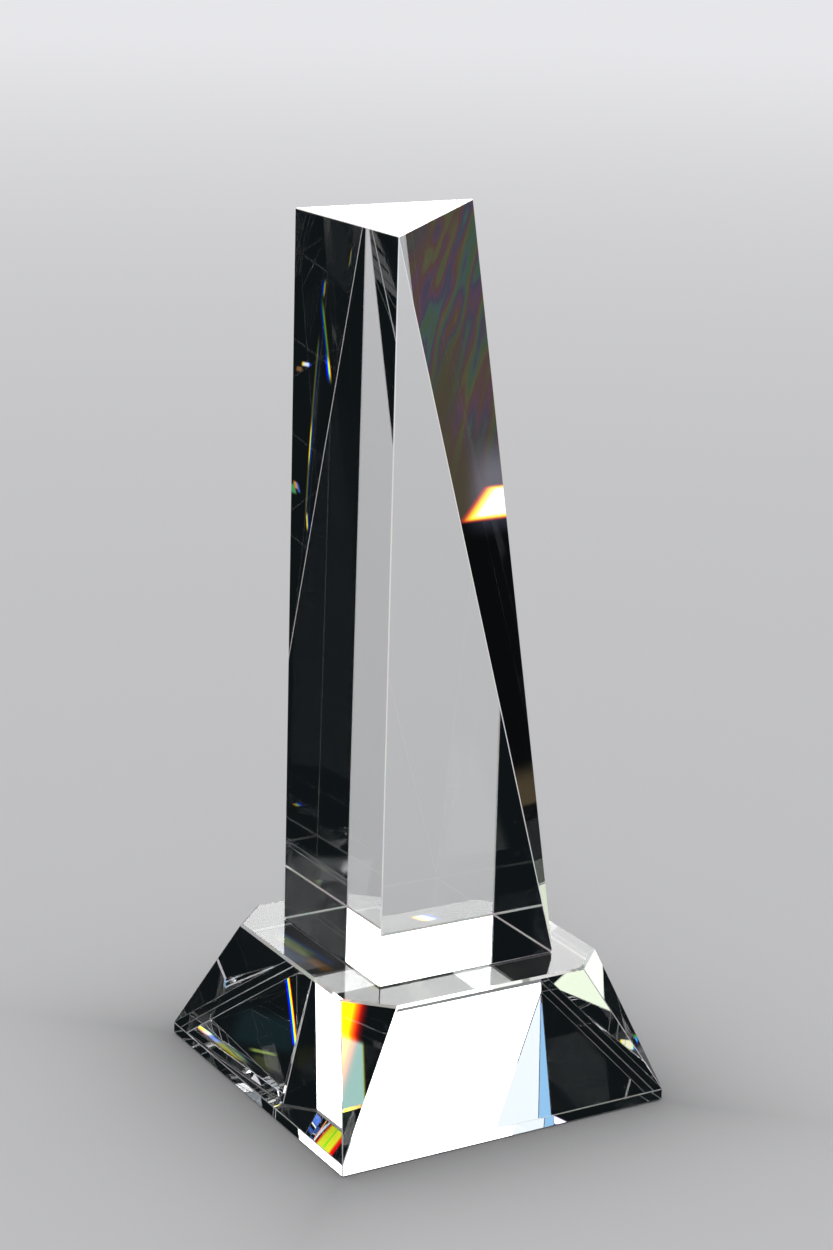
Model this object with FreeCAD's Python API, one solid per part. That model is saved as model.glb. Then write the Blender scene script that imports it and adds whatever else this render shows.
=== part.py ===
import FreeCAD, Part
import math
import os

# A faceted crystal award: an asymmetric glass tower bonded to a faceted glass base.
# Row frame: origin at the centre of the base's underside, +Z up, square sides along X and Y.
# The tower's long slanting facet looks towards +X -Y.

# Driving dimensions, millimetres. Faceted sizes run to the sharp corners before bevelling.
BASE_SIDE = 101.6
BASE_HEIGHT = 39.7
GIRDLE_HEIGHT = 3.2        # upright band around the foot of the base
BASE_TOP_ACROSS = 80.6     # top of the base, across its long flats
BASE_TOP_CORNER = 11.0     # leg of each cut corner of the base's top
FILM_THICKNESS = 0.1       # clear adhesive between base and tower
TOWER_SIDE = 55.0
TOWER_HEIGHT = 201.5
FACET_FOOT = 1.2           # height on the tower's corner where the slanting facet ends
RIM_BEVEL = 1.0            # face width of the bevel around the base's top
FOOT_BEVEL = 0.5           # the same around the tower's foot
EDGE_BEVEL = 0.35          # the same along every other edge
TOOL_MARGIN = 10.0


def vec(x, y, z):
    return FreeCAD.Vector(x, y, z)


def outward_normal(points, loop, centre):
    a, b, c = [points[name] for name in loop[:3]]
    normal = (b - a).cross(c - b).normalize()
    if normal.dot(a - centre) < 0:
        normal = normal * -1
    return normal


def planar_face(corners):
    return Part.Face(Part.makePolygon(corners + corners[:1]))


def sharp_solid(points, loops):
    faces = [planar_face([points[name] for name in loop]) for loop in loops]
    return Part.Solid(Part.Shell(faces))


def shared_edges(loops):
    """Every edge of the solid, with the two faces that meet along it."""
    edges = {}
    for index, loop in enumerate(loops):
        for start, end in zip(loop, loop[1:] + loop[:1]):
            edges.setdefault(tuple(sorted((start, end))), []).append(index)
    return edges


def bevel_tool(start, end, normal_a, normal_b, width):
    """A block whose lower face takes a flat of the given width off one convex edge."""
    along = (end - start).normalize()
    outward = (normal_a + normal_b).normalize()
    across = outward.cross(along)
    half_inside = (math.pi - normal_a.getAngle(normal_b)) / 2
    depth = width / (2 * math.tan(half_inside))
    length = start.distanceToPoint(end) + 2 * TOOL_MARGIN
    block = Part.makeBox(length, 2 * TOOL_MARGIN, TOOL_MARGIN)
    corner = start - along * TOOL_MARGIN - across * TOOL_MARGIN - outward * depth
    turn = FreeCAD.Rotation(along, across, outward, "ZXY")
    block.Placement = FreeCAD.Placement(corner, turn)
    return block


def bevelled_solid(points, loops, width_of_edge):
    centre = sum(points.values(), vec(0, 0, 0)) * (1.0 / len(points))
    normals = [outward_normal(points, loop, centre) for loop in loops]
    solid = sharp_solid(points, loops)
    for (start, end), (face_a, face_b) in shared_edges(loops).items():
        tool = bevel_tool(points[start], points[end], normals[face_a], normals[face_b],
                          width_of_edge(start, end))
        solid = solid.cut(tool)
    return solid.Solids[0]


def square_corners(half, z):
    return [vec(-half, -half, z), vec(half, -half, z), vec(half, half, z), vec(-half, half, z)]


def base_points():
    """Foot F, girdle top G, and two top corners T and U at each of the four corners."""
    points = {}
    half_top = BASE_TOP_ACROSS / 2
    inner = half_top - BASE_TOP_CORNER
    for index, (sx, sy) in enumerate([(-1, -1), (1, -1), (1, 1), (-1, 1)]):
        half = BASE_SIDE / 2
        points["F%d" % index] = vec(sx * half, sy * half, 0)
        points["G%d" % index] = vec(sx * half, sy * half, GIRDLE_HEIGHT)
        on_y_side = vec(sx * inner, sy * half_top, BASE_HEIGHT)
        on_x_side = vec(sx * half_top, sy * inner, BASE_HEIGHT)
        first, second = (on_x_side, on_y_side) if sx * sy > 0 else (on_y_side, on_x_side)
        points["T%d" % index] = first
        points["U%d" % index] = second
    return points


def base_loops():
    loops = [["F0", "F1", "F2", "F3"]]
    rim = []
    for index in range(4):
        after = (index + 1) % 4
        here = str(index)
        there = str(after)
        loops.append(["F" + here, "F" + there, "G" + there, "G" + here])
        loops.append(["G" + here, "G" + there, "T" + there, "U" + here])
        loops.append(["G" + here, "U" + here, "T" + here])
        rim += ["T" + here, "U" + here]
    loops.append(rim)
    return loops


def base_edge_width(start, end):
    on_rim = start[0] in "TU" and end[0] in "TU"
    return RIM_BEVEL if on_rim else EDGE_BEVEL


def make_base():
    """The faceted base, with the bonded area of its top split off as a face of its own."""
    solid = bevelled_solid(base_points(), base_loops(), base_edge_width)
    footprint = planar_face(square_corners(bonded_half(), BASE_HEIGHT))
    pieces, _ = solid.generalFuse([footprint])
    return pieces.Solids[0]


def bonded_half():
    """Half the side of the tower's flat underside, inside its own bevel."""
    return TOWER_SIDE / 2 - FOOT_BEVEL / math.sqrt(2)


def make_film():
    side = 2 * bonded_half()
    corner = vec(-side / 2, -side / 2, BASE_HEIGHT)
    return Part.makeBox(side, side, FILM_THICKNESS, corner)


def tower_points():
    half = TOWER_SIDE / 2
    foot = BASE_HEIGHT + FILM_THICKNESS
    head = foot + TOWER_HEIGHT
    return {
        "foot_front": vec(-half, -half, foot),
        "foot_right": vec(half, -half, foot),
        "foot_back": vec(half, half, foot),
        "foot_left": vec(-half, half, foot),
        "facet_tip": vec(half, -half, foot + FACET_FOOT),
        "head_front": vec(-half, -half, head),
        "head_back": vec(half, half, head),
        "head_left": vec(-half, half, head),
    }


def tower_loops():
    return [
        ["foot_front", "foot_right", "foot_back", "foot_left"],
        ["foot_front", "foot_right", "facet_tip", "head_front"],
        ["foot_right", "foot_back", "head_back", "facet_tip"],
        ["foot_back", "foot_left", "head_left", "head_back"],
        ["foot_left", "foot_front", "head_front", "head_left"],
        ["head_front", "head_back", "head_left"],
        ["head_front", "facet_tip", "head_back"],
    ]


def tower_edge_width(start, end):
    at_foot = start.startswith("foot") and end.startswith("foot")
    return FOOT_BEVEL if at_foot else EDGE_BEVEL


def make_tower():
    """A square column with one corner cut away by a single plane from head to foot."""
    return bevelled_solid(tower_points(), tower_loops(), tower_edge_width)


def export(name, solid):
    solid.exportStep(os.path.join("parts", name + ".step"))


os.makedirs("parts", exist_ok=True)
export("crystal_base", make_base())
export("adhesive_film", make_film())
export("crystal_tower", make_tower())
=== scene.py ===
import math

import bpy
from mathutils import Matrix, Vector


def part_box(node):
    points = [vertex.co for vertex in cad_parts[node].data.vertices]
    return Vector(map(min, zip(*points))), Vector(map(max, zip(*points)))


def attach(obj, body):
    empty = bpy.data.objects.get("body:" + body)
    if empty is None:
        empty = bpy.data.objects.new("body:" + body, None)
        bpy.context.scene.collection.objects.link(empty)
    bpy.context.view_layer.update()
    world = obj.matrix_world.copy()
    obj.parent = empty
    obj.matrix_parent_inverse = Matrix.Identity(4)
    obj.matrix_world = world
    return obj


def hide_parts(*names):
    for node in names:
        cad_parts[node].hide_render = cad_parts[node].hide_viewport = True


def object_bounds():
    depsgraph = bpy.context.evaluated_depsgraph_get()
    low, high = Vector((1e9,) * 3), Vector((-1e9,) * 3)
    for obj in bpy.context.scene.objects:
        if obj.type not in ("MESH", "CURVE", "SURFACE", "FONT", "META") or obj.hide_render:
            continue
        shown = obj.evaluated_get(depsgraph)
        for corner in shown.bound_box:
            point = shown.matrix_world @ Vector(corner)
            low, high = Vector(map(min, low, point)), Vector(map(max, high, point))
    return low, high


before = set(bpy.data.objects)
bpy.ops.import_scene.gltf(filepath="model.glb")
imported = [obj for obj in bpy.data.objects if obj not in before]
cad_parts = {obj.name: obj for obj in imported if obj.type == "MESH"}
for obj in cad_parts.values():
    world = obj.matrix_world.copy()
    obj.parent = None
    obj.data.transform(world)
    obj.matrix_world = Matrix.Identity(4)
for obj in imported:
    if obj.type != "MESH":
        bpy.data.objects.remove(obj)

CAD_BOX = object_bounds()
MM = 0.001
CRYSTAL_IOR = 1.517
FLOOR_DROP = 0.3 * MM      # air under the polished underside
BEVEL_LARGEST = 200 * MM * MM   # a flat with less area than this is a bevel
BEVEL_CLEARNESS = {"crystal_base": 0.62, "crystal_tower": 0.08}
FILM_SKIN = 0.01 * MM      # left free above and below the adhesive

# Stage: the floor and backdrop as seen directly are pale; the floor is darker near the award, with
# a painted contact shadow and painted coloured light under the base.
FLOOR_SIZE = 60.0
FLOOR_NEAR = (0.56, 0.56, 0.57, 1)
FLOOR_FAR = (0.84, 0.84, 0.87, 1)
FLOOR_FAR_FROM = 4.0       # distance at which the floor has its far tone
SHADOW_REACH = 22 * MM     # how far the soft contact shadow spreads from the base
SHADOW_TONE = 0.03
SHADOW_UNDER = 0.95        # share of shadow under the base
SHADOW_BESIDE = 0.45       # and just beside it
BACKDROP = (0.80, 0.80, 0.83, 1)
SKY_ON_FLOOR = 0.95        # the even soft light that falls on the floor

# Camera, from a perspective fit: angles in degrees, then metres and millimetres of film.
CAMERA_AZIMUTH, CAMERA_ELEVATION, CAMERA_ROLL = -30.7, 16.07, 1.64
CAMERA_DISTANCE = 0.7687
CAMERA_LEFT = 0.0025
CAMERA_UP = 0.0081
AIM_HEIGHT = 0.1219
SENSOR_HEIGHT = 24.0
LENS = 54.14

# The lighting below is fitted to the main viewpoint: apart from SOFT_BOXES and FLOOR_PALE, each
# card lies where rays from the camera go after they leave the crystal.
DARK = (0.005, 0.007, 0.008)   # what the crystal mirrors where there is no card
PRISM_TURN = (0.5, 0.0, -1.5)  # how far red, green and blue edges move: blue bends the most
EDGE_POWER = 2.5               # makes the soft edges fall off faster

# Soft-edged cards, each: span across, span along, lean of its long edges, how far red and
# blue part from green as in a prism, softness of the two pairs of edges, and brightness.

# Around the award, seen only by reflections inside the crystal: across is the azimuth from
# +X towards +Y and along is the elevation, in degrees.
STUDIO_CARDS = (
    # The large white card in its pieces, with two coloured cards at its low-azimuth edge.
    ((37.8, 79.3), (3.0, 18.0), 0.5, 0.32, (0.35, 0.2), (4.5, 4.5, 4.5)),
    ((30.95, 71.9), (20.9, 29.45), 0.5, 0.32, (0.35, 0.2), (4.5, 4.5, 4.5)),
    ((28.83, 31.0), (28.3, 29.45), 0.1, 0.45, (0.8, 0.2), (4.5, 4.5, 4.5)),
    ((25.2, 66.0), (29.45, 46.0), 0.5, 0.30, (0.35, 0.2), (4.5, 4.5, 4.5)),
    ((28.5, 29.5), (29.5, 30.6), 0.0, 0.20, (0.7, 0.2), (2.2, 0.8, 0.3)),
    ((27.3, 28.9), (29.55, 31.3), 0.6, 0.02, (0.15, 0.15), (0.40, 0.65, 0.60)),
    # Paler cards beside it.
    ((76.4, 114.4), (3.0, 30.0), 0.5, 0.0, (0.1, 1.0), (0.98, 1.06, 1.14)),
    ((66.0, 92.0), (30.0, 46.0), 0.5, 0.0, (0.1, 1.0), (1.30, 1.30, 1.24)),
    ((92.0, 108.0), (30.0, 46.0), 0.5, 0.2, (0.3, 1.0), (0.96, 1.06, 0.84)),
    # Slim lines and specks.
    ((28.115, 28.125), (23.3, 24.5), 0.5, 0.03, (0.035, 0.1), (3.0, 2.6, 2.6)),
    ((28.25, 28.60), (24.81, 24.83), 0.1, 0.0, (0.25, 0.05), (0.24, 0.32, 0.07)),
    ((28.15, 28.50), (24.95, 25.10), 0.0, 0.0, (0.25, 0.15), (0.04, 0.045, 0.015)),
    ((28.0, 29.0), (24.2, 24.6), 0.0, 0.0, (0.5, 0.35), (0.004, 0.012, 0.015)),
    ((116.23, 116.28), (24.20, 24.35), -1.4, 0.06, (0.12, 0.12), (1.8, 1.4, 0.9)),
    ((116.42, 116.46), (24.35, 24.50), -1.4, 0.0, (0.10, 0.12), (0.15, 0.30, 1.0)),
    ((116.80, 116.90), (24.60, 24.80), -1.4, 0.04, (0.15, 0.25), (0.32, 0.36, 0.10)),
    # On the camera's side.
    ((210.5, 217.0), (24.0, 37.0), 0.0, 0.1, (0.3, 0.5), (0.33, 0.62, 0.95)),
    ((192.0, 200.0), (30.0, 36.0), 0.0, 0.3, (1.0, 1.0), (2.0, 2.0, 2.0)),
)
# Soft boxes in directions that the main view doesn't use, for the award's other sides.
SOFT_BOXES = (
    ((-3.0, 16.0), (4.0, 52.0), 0.0, 0.0, (2.0, 4.0), (0.70, 0.70, 0.72)),
    ((42.0, 48.0), (4.0, 52.0), 0.0, 0.0, (1.5, 4.0), (1.10, 1.10, 1.12)),
    ((144.0, 176.0), (12.0, 52.0), 0.0, 0.0, (2.0, 4.0), (0.75, 0.75, 0.78)),
    ((255.0, 286.0), (4.0, 52.0), 0.0, 0.0, (2.0, 4.0), (0.50, 0.50, 0.52)),
    ((310.0, 318.0), (4.0, 38.0), 0.0, 0.0, (1.5, 3.0), (1.10, 1.10, 1.12)),
    ((334.0, 363.0), (4.0, 37.0), 0.0, 0.0, (2.0, 2.0), (0.70, 0.70, 0.72)),
    ((-3.0, 363.0), (66.0, 93.0), 0.0, 0.0, (2.0, 5.0), (1.10, 1.10, 1.12)),
)
# Painted glints that glow on the floor, in metres, seen the same way: along runs away from the
# award at this azimuth.
GLINT_AZIMUTH = -29.0
FLOOR_GLINTS = (
    ((0.0152, 0.0154), (0.44, 0.66), 0.0, 0.0004, (0.0006, 0.05), (0.11, 0.14, 0.09)),
    ((0.0152, 0.0154), (0.50, 0.53), 0.0, 0.0004, (0.0005, 0.03), (0.80, 0.80, 0.45)),
    ((0.0162, 0.0164), (0.408, 0.418), 0.04, 0.0004, (0.0005, 0.010), (1.1, 1.0, 0.5)),
    ((0.0186, 0.0189), (0.67, 0.73), 0.065, -0.0007, (0.0009, 0.05), (0.10, 0.28, 0.24)),
    ((0.0226, 0.0229), (0.632, 0.640), 0.065, -0.0007, (0.0010, 0.03), (1.0, 1.3, 2.2)),
    ((0.0155, 0.0158), (0.775, 0.790), 0.0, -0.0006, (0.0007, 0.02), (0.26, 0.36, 0.44)),
    ((0.0296, 0.0298), (0.845, 0.865), -0.013, 0.0003, (0.0004, 0.02), (0.30, 0.27, 0.10)),
    ((0.0074, 0.0104), (0.6345, 0.6370), 0.0, 0.0005, (0.0015, 0.005), (0.9, 0.95, 1.1)),
    ((0.0045, 0.0062), (0.624, 0.628), 0.0, 0.0, (0.0020, 0.005), (0.22, 0.11, 0.04)),
    ((0.0064, 0.0080), (0.446, 0.453), 0.15, 0.0, (0.0015, 0.006), (0.08, 0.32, 0.10)),
    ((0.0082, 0.0090), (0.452, 0.457), 0.15, 0.0, (0.0012, 0.005), (0.60, 0.28, 0.06)),
    ((0.0098, 0.0104), (0.448, 0.456), 0.15, 0.0, (0.0010, 0.005), (0.05, 0.11, 0.45)),
)
# A painted pale glow on the open floor all round, where the crystal's other sides look: the
# azimuths between which the floor looks pale, and how near the award it begins.
PALE_FROM_NEAR = ((38.0, 76.0, 0.11), (170.0, 188.0, 0.13), (209.0, 227.0, 0.13),
                  (245.0, 257.0, 0.13), (316.0, 326.0, 0.13), (341.0, 363.0, 0.10),
                  (-3.0, 8.0, 0.10))
PALE_END = 9.0
FLOOR_PALE = [((left, right), (near, PALE_END), 0.0, 0.0, (2.0, 0.01), (0.45, 0.45, 0.46))
              for left, right, near in PALE_FROM_NEAR]
# Painted glints and coloured patches that glow on the floor, in X and Y, by how often the light
# has been reflected.
FLOOR_GLINT_PATCHES = {
    1: (((0.050, 0.088), (0.62, 0.80), 0.0, 0.0, (0.002, 0.01), (0.55, 0.55, 0.57)),
        ((0.0212, 0.0245), (0.0435, 0.0460), -0.8, 0.0008, (0.0008, 0.0015), (1.2, 1.2, 1.25)),
        ((0.1075, 0.1085), (-0.1545, -0.1520), 0.0, 0.0007, (0.0008, 0.0008), (0.2, 0.25, 0.3)),
        ((0.0445, 0.0458), (-0.0225, -0.0200), 0.0, 0.0007, (0.0008, 0.001), (0.08, 0.12, 0.05))),
    2: (((-0.196, -0.181), (0.291, 0.309), 0.0, 0.0, (0.014, 0.014), (2.8, 2.3, 3.4)),),
    3: (((-0.0595, -0.0550), (0.0338, 0.0362), 0.0, -0.0008, (0.0008, 0.0008), (0.9, 0.9, 0.6)),
        ((0.015, 0.027), (0.0418, 0.0462), 0.0, 0.0, (0.001, 0.0012), (1.7, 0.0, 0.0)),
        ((0.015, 0.027), (0.0476, 0.0512), 0.0, 0.0, (0.001, 0.0012), (1.6, 0.0, 0.0)),
        ((0.015, 0.027), (0.0440, 0.0500), 0.0, 0.0, (0.001, 0.0020), (0.0, 1.8, 0.04)),
        ((0.015, 0.027), (0.0525, 0.0535), 0.0, 0.0, (0.001, 0.0005), (1.8, 2.0, 2.4))),
    4: (((0.0205, 0.0232), (0.044, 0.052), 0.0, 0.0, (0.0005, 0.001), (0.10, 0.24, 0.90)),
        ((0.0238, 0.0241), (0.044, 0.052), 0.0, 0.0, (0.0003, 0.001), (1.2, 1.3, 1.5)),
        ((-0.0935, -0.0895), (0.0317, 0.0333), 0.0, -0.0010, (0.001, 0.001), (0.05, 0.4, 0.9)),
        ((0.0256, 0.0268), (0.044, 0.054), 0.0, 0.0, (0.0006, 0.001), (0.03, 0.10, 0.42))),
}
# Painted coloured light, glowing on the floor under the base where the crystal would throw it, in
# X and Y.
CAUSTICS = (
    ((-0.0205, -0.0185), (0.030, 0.042), 0.09, 0.0, (0.0025, 0.006), (0.05, 0.08, 0.0)),
    ((-0.0175, -0.0168), (0.022, 0.046), 0.09, 0.0, (0.0015, 0.006), (0.0, 0.015, 0.07)),
    ((-0.0240, -0.0225), (0.026, 0.036), 0.09, 0.0, (0.0018, 0.005), (0.0, 0.02, 0.06)),
    ((-0.0205, -0.0185), (0.018, 0.024), 0.09, 0.0, (0.0018, 0.005), (0.09, 0.035, 0.0)),
)

# The prism card lies on the floor behind the award and glows: painted light for the crystal to
# refract. Its streaks are a faint painted rainbow on brown; nearer than STREAKS_FROM it is black
# but for a brown band.
PRISM_CARD_CORNERS = ((0.018, 0.09, 0), (-0.058, 0.8, 0), (-0.14, 0.8, 0), (-0.012, 0.09, 0))
PRISM_CARD_LIFT = 0.5 * MM
STREAK_LEAN = -0.09
STREAK_STRETCH = 0.11
STREAKS_FROM = (0.352, 0.358)
BROWN = (0.088, 0.074, 0.048, 1)
BROWN_BAND = (0.082, 0.060, 0.032, 1)
GLOW = (0.13, 0.13, 0.20, 1)
# Its bright wedge: the slanting left edge is where y = slope * x + start.
FLASH_SLOPE = 1.65
FLASH_START = 0.446
FLASH_LEFT_SOFT = 0.014
FLASH_NEAR, FLASH_FAR = 0.3575, 0.384
FLASH_SOFT = 0.004
FLASH_BRIGHTNESS = 1.6
FLASH_SPREADS = (-0.003, 0.002, 0.011)   # for red, green and blue
FLASH_NEAR_MOVES, FLASH_FAR_MOVES = 0.25, -0.2   # share of the spread


# ---------------------------------------------------------------- node helpers

class Nodes:
    """Short calls for building a node tree."""

    def __init__(self, tree):
        self.tree = tree
        tree.nodes.clear()

    def new(self, kind, **settings):
        node = self.tree.nodes.new(kind)
        for name, value in settings.items():
            setattr(node, name, value)
        return node

    def link(self, source, target):
        self.tree.links.new(source, target)

    def put(self, socket, value):
        if hasattr(value, "is_output"):
            self.link(value, socket)
        else:
            socket.default_value = value

    def math(self, operation, *values):
        node = self.new("ShaderNodeMath", operation=operation)
        for socket, value in zip(node.inputs, values):
            self.put(socket, value)
        return node.outputs[0]

    def smooth(self, value, low, high, to_low=0.0, to_high=1.0):
        node = self.new("ShaderNodeMapRange", interpolation_type="SMOOTHSTEP")
        for name, item in (("Value", value), ("From Min", low), ("From Max", high),
                           ("To Min", to_low), ("To Max", to_high)):
            self.put(node.inputs[name], item)
        return node.outputs["Result"]

    def window(self, value, low, high, soft):
        """1 between low and high, falling to 0 over soft outside them."""
        rise = self.smooth(value, low - soft, low)
        fall = self.smooth(value, high, high + soft, 1.0, 0.0)
        return self.math("MULTIPLY", rise, fall)

    def mix(self, factor, a, b, blend="MIX"):
        node = self.new("ShaderNodeMix", data_type="RGBA", blend_type=blend)
        self.put(node.inputs["Factor"], factor)
        self.put(node.inputs["A"], a)
        self.put(node.inputs["B"], b)
        return node.outputs["Result"]

    def add(self, a, b):
        return self.mix(1.0, a, b, "ADD")

    def rgb(self, red, green, blue):
        node = self.new("ShaderNodeCombineColor")
        for socket, value in zip(node.inputs, (red, green, blue)):
            self.put(socket, value)
        return node.outputs[0]

    def noise(self, where, scale, detail=None):
        node = self.new("ShaderNodeTexNoise")
        self.link(where, node.inputs["Vector"])
        node.inputs["Scale"].default_value = scale
        if detail is not None:
            node.inputs["Detail"].default_value = detail
        return node.outputs["Fac"]

    def hue(self, turns, saturation, value):
        """A colour whose hue goes round once for each whole turn."""
        node = self.new("ShaderNodeCombineColor", mode="HSV")
        self.link(self.math("FRACT", turns), node.inputs[0])
        node.inputs[1].default_value = saturation
        node.inputs[2].default_value = value
        return node.outputs[0]

    def xyz(self, where):
        split = self.new("ShaderNodeSeparateXYZ")
        self.link(where, split.inputs[0])
        return split.outputs

    def azimuth(self, x, y):
        """Degrees from +X towards +Y, from 0 to 360."""
        return self.math("WRAP", self.math("DEGREES", self.math("ARCTAN2", y, x)), 360.0, 0.0)

    def emission(self, colour):
        node = self.new("ShaderNodeEmission")
        self.link(colour, node.inputs["Color"])
        return node.outputs[0]

    def surface(self, shader):
        self.link(shader, self.new("ShaderNodeOutputMaterial").inputs["Surface"])


def grey(value):
    return (value, value, value, 1.0)


def new_material(name):
    material = bpy.data.materials.new(name)
    material.use_nodes = True
    return material, Nodes(material.node_tree)


# ---------------------------------------------------------------- crystal

def crystal_material(name, roughness_low, roughness_high, clearness, tint):
    """Clear glass with faint striae; a ground surface is rougher and partly white. With tint above
    0 the striae noise instead paints faint rainbow hues into the colour: painted dispersion.
    """
    material, n = new_material(name)
    where = n.new("ShaderNodeTexCoord").outputs["Object"]
    shader = n.new("ShaderNodeBsdfPrincipled")
    shader.inputs["IOR"].default_value = CRYSTAL_IOR
    shader.inputs["Transmission Weight"].default_value = clearness
    striae = n.noise(where, 22.0, 1.0)
    # With tint, the hue goes round with the striae noise: a painted rainbow standing for
    # dispersion.
    if tint > 0:
        clear = n.hue(n.math("MULTIPLY", striae, 6.0), tint, 1.0)
    else:
        clear = n.mix(striae, (0.985, 0.992, 0.99, 1), (0.995, 0.998, 1.0, 1))
    n.link(clear, shader.inputs["Base Color"])
    if roughness_high > 0:
        grain = n.smooth(n.noise(where, 900.0), 0.35, 0.65, roughness_low, roughness_high)
        n.link(grain, shader.inputs["Roughness"])
    else:
        shader.inputs["Roughness"].default_value = 0.0
    n.surface(shader.outputs[0])
    return material


def plane_key(polygon, vertices):
    normal = polygon.normal
    offset = normal.dot(vertices[polygon.vertices[0]].co)
    return (*[round(x, 3) for x in normal], round(offset / MM, 1))


def dress_crystal(obj, face_material, bevel_material):
    """Large facets get the polished face material, the narrow bevels the other one."""
    mesh = obj.data
    areas = {}
    for polygon in mesh.polygons:
        key = plane_key(polygon, mesh.vertices)
        areas[key] = areas.get(key, 0.0) + polygon.area
    mesh.materials.clear()
    mesh.materials.append(face_material)
    mesh.materials.append(bevel_material)
    for polygon in mesh.polygons:
        small = areas[plane_key(polygon, mesh.vertices)] < BEVEL_LARGEST
        polygon.material_index = 1 if small else 0


# ---------------------------------------------------------------- stage and lighting

def card_light(n, across, along, cards, tint, rest):
    """Brightness of the cards in one colour; tint is 0 for red, 1 for green, 2 for blue."""
    total = rest[tint]
    for (left, right), (low, high), lean, prism, (soft_across, soft_along), colour in cards:
        if colour[tint] == 0.0:
            continue
        shift = PRISM_TURN[tint] * prism - lean * (low + high) / 2
        place = n.math("ADD", across, n.math("MULTIPLY_ADD", along, lean, shift))
        lit = n.math("MULTIPLY", n.window(place, left, right, soft_across),
                     n.window(along, low, high, soft_along))
        total = n.math("MULTIPLY_ADD", n.math("POWER", lit, EDGE_POWER), colour[tint], total)
    return total


def card_colour(n, across, along, cards, rest=(0.0, 0.0, 0.0)):
    """The cards' light in all three colours, and rest where there is no card."""
    return n.rgb(*[card_light(n, across, along, cards, tint, rest) for tint in range(3)])


def make_world():
    """An even pale backdrop and light for the floor; reflections in the crystal see the cards."""
    world = bpy.data.worlds.new("studio")
    bpy.context.scene.world = world
    world.use_nodes = True
    world.cycles.sampling_method = "NONE"
    n = Nodes(world.node_tree)
    x, y, z = n.xyz(n.new("ShaderNodeTexCoord").outputs["Generated"])
    elevation = n.math("DEGREES", n.math("ARCSINE", z))
    studio = card_colour(n, n.azimuth(x, y), elevation, STUDIO_CARDS + SOFT_BOXES, DARK)
    path = n.new("ShaderNodeLightPath")
    lights_floor = n.math("GREATER_THAN", path.outputs["Diffuse Depth"], 0.5)
    reflected = n.math("GREATER_THAN", path.outputs["Glossy Depth"], 0.5)
    seen = n.mix(reflected, BACKDROP, studio)
    background = n.new("ShaderNodeBackground")
    n.link(n.mix(lights_floor, seen, grey(SKY_ON_FLOOR)), background.inputs["Color"])
    n.link(background.outputs[0], n.new("ShaderNodeOutputWorld").inputs["Surface"])


def contact_shadow(n, x, y):
    """Share of shadow: deep under the base, then fading with the distance from its square."""
    outside = n.math("SUBTRACT", n.math("MAXIMUM", n.math("ABSOLUTE", x), n.math("ABSOLUTE", y)),
                     CAD_BOX[1].x)
    faded = n.math("EXPONENT", n.math("MULTIPLY", outside, -1 / SHADOW_REACH))
    under = n.smooth(outside, -MM, 0.0, SHADOW_UNDER, SHADOW_BESIDE)
    return n.math("MULTIPLY", n.math("MINIMUM", faded, 1.0), under)


def pale_floor(n, x, y, away):
    """The plain floor, with its painted contact shadow and a painted glow of coloured light that
    stands for what the crystal throws.
    """
    tone = n.mix(n.smooth(away, 0.0, FLOOR_FAR_FROM), FLOOR_NEAR, FLOOR_FAR)
    pale = n.new("ShaderNodeBsdfDiffuse")
    n.link(n.mix(contact_shadow(n, x, y), tone, grey(SHADOW_TONE)), pale.inputs["Color"])
    lit = n.new("ShaderNodeAddShader")
    n.link(pale.outputs[0], lit.inputs[0])
    # Painted light: the caustic colours glow on the floor.
    n.link(n.emission(card_colour(n, x, y, CAUSTICS)), lit.inputs[1])
    return lit.outputs[0]


def reflected_floor(n, x, y, away, reflections_so_far):
    """The floor as reflections inside the crystal see it: painted dark, with painted glints, pale
    spans and coloured patches, all as glow.
    """
    cosine = math.cos(math.radians(GLINT_AZIMUTH))
    sine = math.sin(math.radians(GLINT_AZIMUTH))
    along = n.math("MULTIPLY_ADD", y, sine, n.math("MULTIPLY", x, cosine))
    across = n.math("MULTIPLY_ADD", y, cosine, n.math("MULTIPLY", x, -sine))
    seen = card_colour(n, across, along, FLOOR_GLINTS, DARK)
    seen = n.add(seen, card_colour(n, n.azimuth(x, y), away, FLOOR_PALE))
    for reflections, cards in FLOOR_GLINT_PATCHES.items():
        counted = n.math("COMPARE", reflections_so_far, float(reflections), 0.5)
        seen = n.add(seen, n.mix(counted, grey(0.0), card_colour(n, x, y, cards)))
    return n.emission(seen)


def make_floor():
    bpy.ops.mesh.primitive_plane_add(size=FLOOR_SIZE, location=(0, 0, -FLOOR_DROP))
    floor = bpy.context.object
    floor.name = "floor"
    material, n = new_material("pale_floor")
    where = n.new("ShaderNodeTexCoord").outputs["Object"]
    length = n.new("ShaderNodeVectorMath", operation="LENGTH")
    n.link(where, length.inputs[0])
    away = length.outputs["Value"]
    x, y = n.xyz(where)[:2]
    path = n.new("ShaderNodeLightPath")
    reflected = n.math("GREATER_THAN", path.outputs["Glossy Depth"], 0.5)
    bare = n.math("LESS_THAN", path.outputs["Diffuse Depth"], 0.5)
    mixer = n.new("ShaderNodeMixShader")
    n.link(n.math("MULTIPLY", reflected, bare), mixer.inputs[0])
    n.link(pale_floor(n, x, y, away), mixer.inputs[1])
    n.link(reflected_floor(n, x, y, away, path.outputs["Glossy Depth"]), mixer.inputs[2])
    n.surface(mixer.outputs[0])
    floor.data.materials.append(material)


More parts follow.
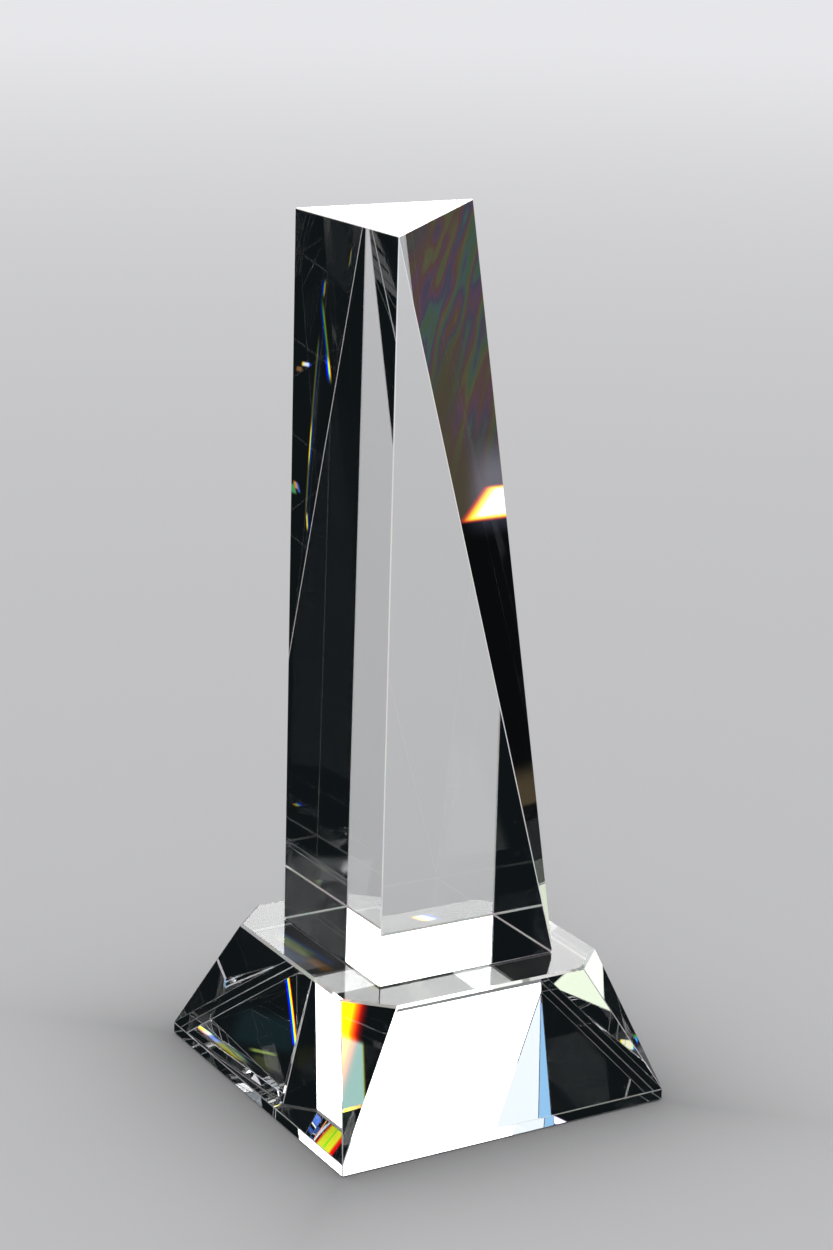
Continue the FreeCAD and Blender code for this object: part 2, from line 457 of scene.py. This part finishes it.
def flash_light(n, x, y, spread):
    """A bright wedge whose edges move with spread, so that colours part."""
    from_left = n.math("SUBTRACT", n.math("MULTIPLY_ADD", x, FLASH_SLOPE, FLASH_START), y)
    near = FLASH_NEAR + spread * FLASH_NEAR_MOVES
    far = FLASH_FAR + spread * FLASH_FAR_MOVES
    lit = n.math("MULTIPLY", n.smooth(from_left, spread, spread + FLASH_LEFT_SOFT),
                 n.window(y, near, far, FLASH_SOFT))
    return n.math("MULTIPLY", lit, FLASH_BRIGHTNESS)


def brown_with_painted_rainbow(n, x, y):
    """Brown with a painted rainbow of slanting streaks in patches, stronger farther away."""
    streak = n.new("ShaderNodeCombineXYZ")
    n.link(n.math("MULTIPLY_ADD", y, STREAK_LEAN, x), streak.inputs[0])
    n.link(n.math("MULTIPLY", y, STREAK_STRETCH), streak.inputs[1])
    waves = n.noise(streak.outputs[0], 68.0, 1.5)
    patches = n.noise(streak.outputs[0], 21.0)
    strength = n.math("MULTIPLY", n.smooth(patches, 0.27, 0.60),
                      n.smooth(y, 0.38, 0.48, 0.10, 0.75))
    streaks = n.hue(n.math("MULTIPLY_ADD", waves, 3.6, 0.25), 0.48, 0.13)
    return n.mix(strength, BROWN, streaks)


def prism_card_material():
    material, n = new_material("prism_card")
    x, y = n.xyz(n.new("ShaderNodeTexCoord").outputs["Object"])[:2]
    # The card is all painted light: a bright flash, rainbow streaks on brown, a brown band and a
    # soft glow.
    flash = n.rgb(*[flash_light(n, x, y, spread) for spread in FLASH_SPREADS])
    streaked = n.mix(n.smooth(y, *STREAKS_FROM), grey(0.002), brown_with_painted_rainbow(n, x, y))
    beyond_flash = n.window(y, 0.385, 0.395, 0.05)
    glow = n.mix(n.math("MULTIPLY", n.smooth(x, -0.055, -0.030), beyond_flash), grey(0.0), GLOW)
    near_band = n.math("MULTIPLY", n.smooth(y, 0.1335, 0.136), n.smooth(y, 0.146, 0.162, 1.0, 0.0))
    band = n.mix(n.math("MULTIPLY", near_band, n.smooth(x, -0.030, -0.012)), grey(0.0), BROWN_BAND)
    n.surface(n.emission(n.add(n.add(streaked, band), n.add(flash, glow))))
    return material


def make_prism_card():
    """A glowing card on the floor behind the award, seen only through the crystal: painted dark
    brown, rainbow streaks and a bright flash.
    """
    mesh = bpy.data.meshes.new("prism_card")
    mesh.from_pydata(PRISM_CARD_CORNERS, [], [(0, 1, 2, 3)])
    mesh.materials.append(prism_card_material())
    card = bpy.data.objects.new("prism_card", mesh)
    card.location.z = PRISM_CARD_LIFT
    bpy.context.scene.collection.objects.link(card)
    card.visible_camera = False
    card.visible_diffuse = False
    card.visible_glossy = False
    card.visible_shadow = False


def make_camera():
    """Looks down about 16 degrees at the corner between the award's front and left faces."""
    azimuth = math.radians(CAMERA_AZIMUTH)
    elevation = math.radians(CAMERA_ELEVATION)
    roll = math.radians(CAMERA_ROLL)
    back = Vector((math.sin(azimuth) * math.cos(elevation),
                   -math.cos(azimuth) * math.cos(elevation), math.sin(elevation)))
    right = Vector((math.cos(azimuth), math.sin(azimuth), 0))
    up = back.cross(right)
    aim = Vector((0, 0, AIM_HEIGHT))
    place = aim + back * CAMERA_DISTANCE - right * CAMERA_LEFT + up * CAMERA_UP
    rolled_right = right * math.cos(roll) + up * math.sin(roll)
    rolled_up = up * math.cos(roll) - right * math.sin(roll)
    data = bpy.data.cameras.new("camera")
    data.sensor_fit = "VERTICAL"
    data.sensor_height = SENSOR_HEIGHT
    data.lens = LENS
    data.clip_start = 0.01
    data.clip_end = 100.0
    camera = bpy.data.objects.new("camera", data)
    bpy.context.scene.collection.objects.link(camera)
    turn = Matrix((rolled_right, rolled_up, back)).transposed()
    camera.matrix_world = Matrix.Translation(place) @ turn.to_4x4()
    bpy.context.scene.camera = camera


def make_film():
    """The clear adhesive, drawn a hair thinner than its gap so its faces touch nothing."""
    low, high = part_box("adhesive_film")
    low = low + Vector((0, 0, FILM_SKIN))
    high = high - Vector((0, 0, FILM_SKIN))
    corners = [(x, y, z) for z in (low.z, high.z) for x, y in
               ((low.x, low.y), (high.x, low.y), (high.x, high.y), (low.x, high.y))]
    mesh = bpy.data.meshes.new("bond_line")
    mesh.from_pydata(corners, [], [(3, 2, 1, 0), (4, 5, 6, 7), (0, 1, 5, 4), (1, 2, 6, 5),
                                   (2, 3, 7, 6), (3, 0, 4, 7)])
    film = bpy.data.objects.new("bond_line", mesh)
    bpy.context.scene.collection.objects.link(film)
    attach(film, "root")
    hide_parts("adhesive_film")
    return film


# ---------------------------------------------------------------- the scene

make_camera()
make_world()
make_floor()
make_prism_card()
polished = crystal_material("polished_crystal", 0.0, 0.0, 1.0, 0.0)
for node, clearness in BEVEL_CLEARNESS.items():
    # Bevels: ground crystal with a faint painted rainbow (tint 0.08) in its colour.
    bevelled = crystal_material("bevelled_" + node, 0.02, 0.08, clearness, 0.08)
    dress_crystal(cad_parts[node], polished, bevelled)
film = make_film()
film.data.materials.append(crystal_material("clear_adhesive", 0.0, 0.0, 1.0, 0.0))

scene = bpy.context.scene
scene.view_settings.view_transform = "Standard"
scene.cycles.max_bounces = 24
scene.cycles.transmission_bounces = 24
scene.cycles.glossy_bounces = 24
scene.cycles.diffuse_bounces = 3
scene.cycles.sample_clamp_indirect = 8.0
